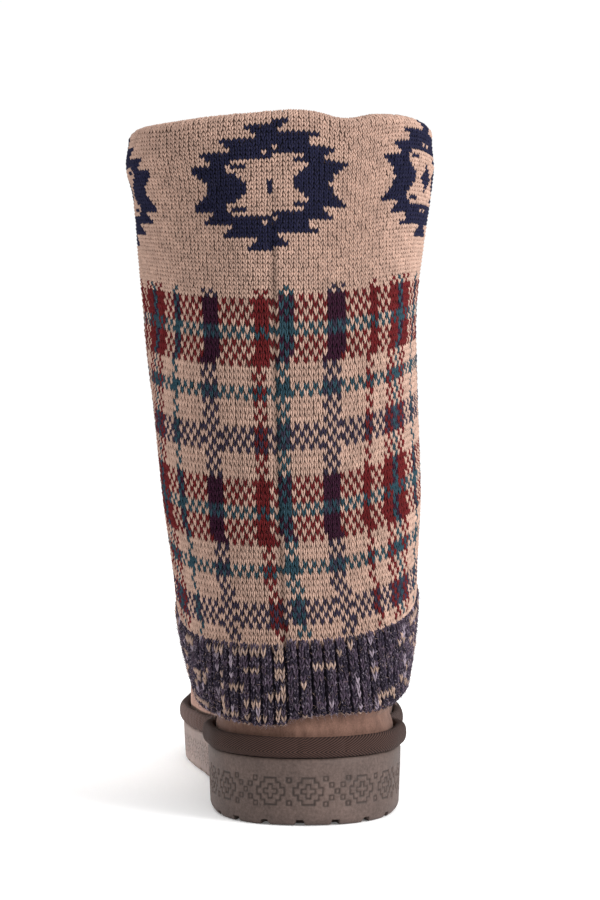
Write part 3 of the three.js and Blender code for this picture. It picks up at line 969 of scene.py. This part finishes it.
def cuff_base(name):
    """The cuff's cloth: upright ribs with deep grooves between them, its colour darkened in the grooves as
    painted shade.
    """
    turns = even_turns(CUFF_LEVEL, RIBS * CLOTH_STEPS, SEAM_LOW)
    down = np.concatenate([[0.0, 0.03, 0.08], np.linspace(0.15, 0.90, 9), [0.94, 0.97]])[::-1]
    phase = np.arange(len(turns)) % CLOTH_STEPS / CLOTH_STEPS
    rib = np.sin(math.pi * phase) ** 0.7
    seam = bump_shape(wrapped(turns - SEAM_LOW), 0.02)
    face = cuff_point(turns, down[:, None], -2.6 + 1.8 * rib - 0.3 * seam)
    back = cuff_point(turns, np.linspace(0, 0.97, 6)[:, None], -3.2)
    rings = np.concatenate([face, back])
    # Painted shade: the marl darker where the rib dips into a groove, and dark all over under the stitches.
    yarn = YARN_COLOURS[MARL] * (0.3 + 0.55 * rib)[:, None]
    yarn[:, 3] = 1
    return ring_piece(name, rings, np.broadcast_to(yarn, (*rings.shape[:2], 4)))


def cuff_fuzz(name, tools):
    """Loose fibres that stand off the marled yarn, most of them at the hem."""
    random = np.random.default_rng(61)
    turn = random.uniform(0, TAU, FIBRES)
    down = 1 - 0.98 * random.random(FIBRES) ** 1.7
    out = random.uniform(-0.5, 0.35, FIBRES)
    point, across, upwards, outward = surface_frame(cuff_point, turn, down, out, CUFF_STEP)
    heading = random.uniform(0, TAU, FIBRES)[:, None]
    lie = unit(across) * np.sin(heading) + upwards * np.cos(heading)
    along = unit(lie + outward * random.uniform(0.0, 0.7, FIBRES)[:, None])
    facing = unit(outward - along * np.sum(outward * along, -1, keepdims=True))
    length = random.uniform(1.2, 3.4, FIBRES)
    yarn = random.choice([MARL, DUSK, LILAC, FLECK], FIBRES, p=[0.15, 0.25, 0.3, 0.3])
    places = point, across, along, facing
    return knit_piece(name, tools, 8, places, np.ones(FIBRES), length, heathered(yarn, random, 0.2), 0.2)


# ---- Outsole ----
SOLE_COLUMNS = 1400
BAND_HALF = 6.2
BAND_UP = 0.51
BAND_SHARE = 0.25
LINE_HALF = 0.24
SQUARE_HALF = 0.9
LINE_DEPTH = 0.5
NOTCH_HALF = 2.1
NOTCH_FADE = 0.2
NOTCH_START = -2.2
NOTCH_RUN = 9.0
CHANNEL_ROWS = (-1.5, -0.5, 0.5, 1.5, 7, 8, 9, 10)
CHANNEL_MARGIN = 15.0
HEEL_SEAT = 47.5
BAND_REPEATS = 16
BAND_START = -14.7
NOTCHES_ROUND = 42
SPINE_END, SPINE_PULL = 8.0, 0.6
# Rings of the underside, then of the wall below and above the band.
FLOOR_INSETS = (15.6, 15.0, 9.6, 9.0, 5.2)
WALL_LOW = (0, 0.02, 0.05, 0.09, 0.15, 0.21)
WALL_HIGH = (0.80, 0.86, 0.9, 0.94, 0.975, 1.0)


def box_distance(x, y, half_wide, half_tall):
    """Signed distance to a box about the origin."""
    dx, dy = np.abs(x) - half_wide, np.abs(y) - half_tall
    return np.hypot(np.maximum(dx, 0), np.maximum(dy, 0)) + np.minimum(np.maximum(dx, dy), 0)


def line_of(distance):
    return 1 - soft_step(LINE_HALF, LINE_HALF + 0.25, np.abs(distance))


def cross_motif(x, y):
    """Stepped cross with a small cross inside it."""
    stepped = np.minimum(box_distance(x, y, 2.6, 5.5), box_distance(x, y, 4.3, 3.6))
    stepped = np.minimum(stepped, box_distance(x, y, 6.1, 1.6))
    small = np.minimum(box_distance(x, y, 0.95, 2.9), box_distance(x, y, 2.9, 0.95))
    return np.maximum(line_of(stepped), line_of(small))


def square_motif(x, y, places):
    line = np.zeros(np.broadcast(x, y).shape)
    for across, up in places:
        line = np.maximum(line, line_of(box_distance(x - across, y - up, SQUARE_HALF, SQUARE_HALF)))
    return line


def sole_band(run, rise, period):
    """Sunk lines of the band: crosses, pairs of squares and saltires of squares, in turn."""
    pair = ((0, 4.7), (0, -4.7))
    saltire = [(2.5 * i, 2.6 * j) for i in range(-2, 3) for j in range(-2, 3) if abs(i) == abs(j)]
    line = np.zeros(np.broadcast(run, rise).shape)
    for middle, motif in ((0, None), (8.0, pair), (16.0, None), (28.3, saltire)):
        x = (run - BAND_START - middle + period / 2) % period - period / 2
        drawn = cross_motif(x, rise) if motif is None else square_motif(x, rise, motif)
        line = np.maximum(line, drawn)
    return line


def sole_turns():
    """Evenly spaced columns round the sole, from the heel's middle."""
    fine = np.linspace(0, TAU, 7201)
    return spread_turns(fine, outline_point(fine, 0.0), SOLE_COLUMNS)


def spine_piece(name, rings, yarn=None):
    """A closed body whose first and last ring lie folded flat along a line down the middle."""
    rows, columns = rings.shape[:2]
    faces, corner = grid_quads(rows, columns)
    folded = np.minimum(np.arange(columns), (columns - np.arange(columns)) % columns)
    index = np.arange(rows * columns).reshape(rows, columns)
    index[0] = folded
    index[-1] = (rows - 1) * columns + folded
    faces = index.ravel()[faces]
    piece = new_mesh(name, rings, faces, corner / np.array([columns, rows]), yarn)
    drop_loose(piece.data)
    return piece


def drop_loose(mesh):
    """Takes out points no face uses."""
    body = bmesh.new()
    body.from_mesh(mesh)
    loose = [vertex for vertex in body.verts if not vertex.link_faces]
    bmesh.ops.delete(body, geom=loose, context="VERTS")
    body.to_mesh(mesh)
    body.free()


def to_spine(ring, share):
    """Points a share of the way from a ring straight across to a line down its middle."""
    y = ring[..., 1]
    heel, toe = y.min() + SPINE_END, y.max() - SPINE_END
    y = y + SPINE_PULL * np.maximum(heel - y, 0) - SPINE_PULL * np.maximum(y - toe, 0)
    x = smooth(OUTLINE, "at", "centre", y / SOLE_LENGTH)
    return mix(ring, np.stack([x, y], -1), share)


def tread_lift(point, run, period_run, inset):
    """How far the underside is cut up: edge notches and cross channels."""
    pitch = period_run / NOTCHES_ROUND
    off = np.abs((run - NOTCH_START + pitch / 2) % pitch - pitch / 2)
    notch = (1 - soft_step(NOTCH_HALF - 0.5, NOTCH_HALF, off)) * (inset <= NOTCH_RUN)
    channel = np.zeros(off.shape)
    for row in CHANNEL_ROWS:
        reach = np.abs(point[..., 1] - HEEL_SEAT - row * TREAD_PITCH)
        channel = np.maximum(channel, 1 - soft_step(NOTCH_HALF - 0.5, NOTCH_HALF, reach))
    channel = channel * (inset > CHANNEL_MARGIN)
    return TREAD_DEPTH * np.maximum(notch, channel)


def wall_ring(turn, run, whole, up):
    """A ring of the sole's wall, pressed in along the band's lines, and those lines."""
    flat = outline_point(turn, 1.0)
    top, bottom = sole_top(flat[:, 1]), sole_bottom(flat[:, 1])
    z = mix(bottom, top, up) + tread_lift(flat, run, whole, 0.0) * max(0, 1 - up / NOTCH_FADE)
    inset = smooth(SOLE_WALL, "up", "inset", (z - bottom) / (top - bottom))
    rise = z - mix(bottom, top, BAND_UP)
    in_band = (np.abs(rise) < BAND_HALF + 0.5) & (abs(up - BAND_UP) < BAND_SHARE)
    line = sole_band(run, rise, whole / BAND_REPEATS) * in_band
    return np.column_stack([outline_point(turn, inset + line * LINE_DEPTH), z]), line


def outsole(name):
    """Moulded sole: sunk band round the wall, notched edge and channelled underside."""
    turn, run, whole = sole_turns()
    inner = outline_point(turn, FLOOR_INSETS[0])
    floor = [(to_spine(inner, share), CHANNEL_MARGIN + 1) for share in (1.0, 0.75, 0.5, 0.25)]
    floor += [(outline_point(turn, inset), inset) for inset in FLOOR_INSETS]
    plain = np.zeros(SOLE_COLUMNS)
    rings = []
    for flat, inset in floor:
        z = sole_bottom(flat[:, 1]) + tread_lift(flat, run, whole, inset)
        rings.append((np.column_stack([flat, z]), plain))
    for up in (*WALL_LOW, *np.linspace(BAND_UP - 0.24, BAND_UP + 0.24, 31), *WALL_HIGH):
        rings.append(wall_ring(turn, run, whole, up))
    edge = outline_point(turn, 0.9)
    for share in (0.05, 0.5, 1.0):
        flat = to_spine(edge, share)
        rings.append((np.column_stack([flat, sole_top(flat[:, 1])]), plain))
    points, lines = zip(*rings)
    # The band's lines ride along as the yarn colour; the rubber paints shade into them.
    return spine_piece(name, np.array(points), np.stack([np.array(lines)] * 4, -1))


# ---- Binding roll, upper, lining, insole ----
# The tape's weave: ridges turn back at a height, and one surface unit is so many millimetres.
TAPE_UNIT, RIDGE_PITCH, RIDGE_SLANT, RIDGE_BREAK = 100.0, 1.65, 1.8, 2.6
ROLL_COLUMNS = 760
ROLL_CLEARANCE = 0.9
ROLL_JOIN = 14.5


def rounded(value):
    return np.sign(value) * np.abs(value) ** 0.82


def binding_roll(name):
    """Padded roll of herringbone tape round the feather line."""
    turn = even_turns(0.5, ROLL_COLUMNS, 0.0)
    base = upper_point(turn, np.zeros_like(turn))
    step = length_of(np.diff(base, axis=0, append=base[:1]))
    run = np.cumsum(step) - step[0]
    outside, inside = np.linspace(0.1, math.pi - 0.1, 17), np.linspace(0.5, math.pi - 0.5, 5)
    away = wrapped(turn)
    gather = bump_shape(np.abs(away) - 1.5, 0.28) * (0.35 + 0.65 * (away < 0))
    puff = 1 + 0.05 * np.sin(run * 0.21) + 0.04 * np.sin(run * 0.083 + 1)
    join = bump_shape((run - ROLL_JOIN + 300) % 600 - 300, 0.7)
    rings, heights = [], []
    for a in (*outside, *(math.pi + inside)):
        half_width = ROLL_WIDTH / 2 * puff
        out = ROLL_CLEARANCE + half_width * (1 + rounded(np.sin(a)))
        height = ROLL_HEIGHT / 2 * (1 - rounded(np.cos(a)))
        outer = max(math.sin(a), 0.0)
        wrinkle = gather * 0.5 * np.sin(run * 0.8 + height * 0.35)
        lift = outer * (0.3 + wrinkle - 0.6 * join)
        place = off_upper(turn, 0.0 * turn, out + lift)
        place[:, 2] = sole_top(place[:, 1]) + FIT_GAP + height + 0.35 * wrinkle
        rings.append(place)
        heights.append(height)
    piece = ring_piece(name, np.array(rings))
    corner = grid_quads(len(heights), ROLL_COLUMNS, close_rows=True)[1]
    rise = np.array(heights + heights[:1])[corner[..., 1]]
    spot = np.stack([corner[..., 0] * (run[-1] / ROLL_COLUMNS), rise], -1) / TAPE_UNIT
    store_uv(piece.data.uv_layers["surface"], spot)
    return piece


SUEDE_COLUMNS, SUEDE_TOP = 420, 9.2
LINING_COLUMNS, LINING_ROWS = 280, 92
LINING_FOOT, LINING_TOP = 0.1, 16.6
FOOTBED_COLUMNS, FOOTBED_ROWS = 320, 14
# The footbed's foot and side: rise over the sole, inset from the upper's face, share to the spine.
FOOTBED_EDGE = ((0.3, 4.6, 1), (0.3, 4.6, 0.5), (0.3, 4.6, 0), (1.5, 3.9, 0), (3.9, 3.8, 0), (4.8, 4.6, 0))
# Bends across the vamp: distance from the heel, slope, depth and half width.
CREASES = ((181, 0.22, 1.8, 3.6), (194, 0.10, 2.3, 4.2), (207, -0.04, 1.7, 4.0), (219, -0.12, 0.9, 3.4))


def flex_creases(point):
    """Soft troughs across the vamp where the foot bends, and slack at the inner waist."""
    x, y, z = point[..., 0], point[..., 1], point[..., 2]
    top = soft_step(34, 56, z)
    trough = np.zeros(x.shape)
    for place, slope, depth, wide in CREASES:
        across = y - place - slope * (x + 6) + 2.0 * np.sin(0.11 * x + place)
        trough -= depth * bump_shape(across, wide)
        trough += 0.5 * depth * bump_shape(across - 2.3 * wide, 1.4 * wide)
    waist = 0.8 * np.sin(0.16 * y + 0.10 * z) * bump_shape(y - 118, 40) * (1 - 0.6 * top)
    heel = -0.5 * bump_shape(z - 36 - 0.02 * x * x / 10, 2.4) * bump_shape(y - 4, 14)
    return trough * top * bump_shape(x + 6, 46) + waist + heel


def suede_upper(name):
    """Suede foot from the feather line up under the cuff, with the heel seam."""
    turn = even_turns(2.0, SUEDE_COLUMNS, 0.0)
    level = np.concatenate([np.linspace(0, 2, 9), np.linspace(2.2, 8, 42), [8.6, SUEDE_TOP]])
    flat = off_upper(turn, level[:, None], 0.0)
    from_seam = wrapped(turn + 0.02)
    seam = -0.5 * bump_shape(from_seam, 0.012) + 0.25 * bump_shape(np.abs(from_seam) - 0.04, 0.02)
    free = soft_step(0.3, 1.5, level)[:, None] * (1 - soft_step(7.6, 8.0, level))[:, None]
    out = (flex_creases(flat) + seam) * free
    face = off_upper(turn, level[:, None], np.minimum(out, 1.2))
    back = off_upper(turn, np.linspace(SUEDE_TOP, 0, 24)[:, None], -SUEDE_THICKNESS)
    return ring_piece(name, np.concatenate([face, back]))


def smoothed_noise(shape, seed):
    """Random numbers eased into their neighbours, joined round the ring."""
    noise = np.random.default_rng(seed).normal(0, 1, shape)
    noise = (noise + np.roll(noise, 1, 1) + np.roll(noise, -1, 1)) / 3
    noise[1:-1] = (noise[1:-1] + noise[2:] + noise[:-2]) / 3
    return noise / noise.std()


def fleece_lining(name):
    """Curly lining on the inner side of the whole boot."""
    turn = even_turns(4.0, LINING_COLUMNS, 0.0)
    outer_level = np.linspace(LINING_FOOT, LINING_TOP, 40)[:, None]
    inner_level = np.linspace(LINING_TOP, LINING_FOOT, LINING_ROWS)[:, None]
    back = np.where(outer_level > SUEDE_TOP, -0.2, -SUEDE_THICKNESS - 0.1)
    outer = off_upper(turn, outer_level, back + slack(turn, height_at(outer_level)))
    pile = smoothed_noise((LINING_ROWS, LINING_COLUMNS), 31)
    face = -UPPER_WALL - 0.3 * np.clip(pile, -1.2, 1.6)
    inner = off_upper(turn, inner_level, face + slack(turn, height_at(inner_level)))
    return ring_piece(name, np.concatenate([outer, inner]))


def footbed(name):
    """Insole: soft pile over foam, a little hollow under the heel and ball."""
    turn = even_turns(0.0, FOOTBED_COLUMNS, 0.0)

    def ring(inset, share):
        flat = to_spine(off_upper(turn, 0.0 * turn, -inset)[:, :2], share)
        return flat, sole_top(flat[:, 1])

    rows = []
    for up, inset, share in FOOTBED_EDGE:
        flat, ground = ring(inset, share)
        rows.append(np.column_stack([flat, ground + up]))
    pile = smoothed_noise((FOOTBED_ROWS, FOOTBED_COLUMNS), 41)
    for k, share in enumerate(np.linspace(0.07, 1, FOOTBED_ROWS)):
        flat, ground = ring(FOOTBED_EDGE[-1][1], share)
        heel, ball = bump_shape(flat[:, 1] - 40, 24), bump_shape(flat[:, 1] - 190, 26)
        worn = -0.7 * heel * share - 0.5 * ball * share
        rows.append(np.column_stack([flat, ground + 4.9 + worn + 0.12 * pile[k] * (share < 0.99)]))
    return spine_piece(name, np.array(rows))


# ---- The whole boot ----
MATERIALS = {
    "cloth": cloth_material(),
    "yarn": yarn_material(),
    "suede": suede_material(),
    "tape": tape_material(),
    "rubber": rubber_material(),
    "lining": fleece_material("fleece_lining", colour(150, 126, 106), colour(205, 184, 162)),
    "footbed": fleece_material("footbed_pile", colour(140, 118, 100), colour(196, 175, 152)),
}


# Maker, name, material, slot and the frame's node of each solid piece.
SOLID_PIECES = (
    (outsole, "moulded_outsole", "rubber", "sole_rubber", "outsole"),
    (binding_roll, "herringbone_roll", "tape", "binding_tape", "binding_roll"),
    (suede_upper, "suede_foot", "suede", "suede", "upper"),
    (fleece_lining, "fleece_lining", "lining", "insole_fabric", "upper"),
    (footbed, "pile_footbed", "footbed", "insole_fabric", "insole"),
    (sleeve_base, "sleeve_cloth", "cloth", "knit", "knit_sleeve"),
    (cuff_base, "cuff_cloth", "yarn", "knit", "knit_sleeve"),
)


def build_boot():
    pieces = {name: finish_piece(make(name), *dress) for make, name, *dress in SOLID_PIECES}
    shape, slim_shape = stitch_shape(0.215), stitch_shape(0.19)
    tree, keys = stitch_tree()
    tools = (tree, keys, shape)
    plaid_middle = TAN_ROWS + PLAID_ROWS // 2
    leg_stitches("band_stitches_high", -FOLDED_ROWS, 20, 11, tools)
    leg_stitches("band_stitches_low", 20, TAN_ROWS, 12, tools)
    leg_stitches("plaid_stitches_high", TAN_ROWS, plaid_middle, 13, tools)
    leg_stitches("plaid_stitches_low", plaid_middle, LEG_ROWS, 14, tools)
    cuff_stitches("cuff_stitches", (tree, keys, slim_shape))
    stray = fibre_shape()
    cuff_fuzz("cuff_fuzz", (tree, keys, stray))
    for used in (shape, slim_shape, stray):
        discard(used)
    bpy.data.node_groups.remove(tree)


# ---- Studio ----
def studio_floor():
    """A wide pale floor under the boot."""
    half = 12.0
    count = 9
    steps = np.linspace(-half, half, count)
    x, y = np.meshgrid(steps, steps)
    points = np.stack([x, y, np.zeros_like(x)], -1) / MM
    points[..., 1] -= HEEL_BACK
    faces, corner = grid_quads(count, count)
    keep = corner[:, 0, 0] < count - 1
    floor = new_mesh("studio_floor", points, faces[keep])
    floor.data.materials.append(floor_material())
    return floor


def area_light(name, place, target, size, power, spread=math.pi):
    lamp = bpy.data.lights.new(name, "AREA")
    lamp.shape = "RECTANGLE"
    lamp.size, lamp.size_y = size
    lamp.energy = power
    lamp.spread = spread
    holder = placed(name, lamp)
    holder.location = place
    aim = Vector(np.subtract(target, place))
    holder.rotation_euler = aim.to_track_quat("-Z", "Y").to_euler()


def studio_lights():
    world = bpy.data.worlds.new("studio")
    world.use_nodes = True
    sky = world.node_tree.nodes["Background"]
    sky.inputs["Color"].default_value = (1.0, 1.0, 1.0, 1)
    sky.inputs["Strength"].default_value = 1.02
    bpy.context.scene.world = world
    aim = (0, 0, 0.15)
    area_light("key", (1.7, -1.05, 0.95), aim, (1.0, 1.4), 47)
    area_light("top", (0.1, -0.2, 2.2), aim, (1.6, 1.6), 8)
    narrow = math.radians(14)
    area_light("low", (-1.2, 0.12, 0.05), (-0.05, 0.15, 0.012), (0.12, 0.06), 0.22, narrow)
    bpy.context.scene.view_settings.view_transform = "Standard"


def studio_camera():
    lens = bpy.data.cameras.new("camera")
    lens.lens = 90.3
    lens.sensor_width = 36
    lens.shift_y = -0.02
    lens.clip_end = 100
    camera = placed("camera", lens)
    camera.location = (-0.002, -0.9615, 0.160)
    camera.rotation_euler = (math.pi / 2, 0, 0)
    bpy.context.scene.camera = camera


build_boot()
studio_floor()
studio_lights()
studio_camera()
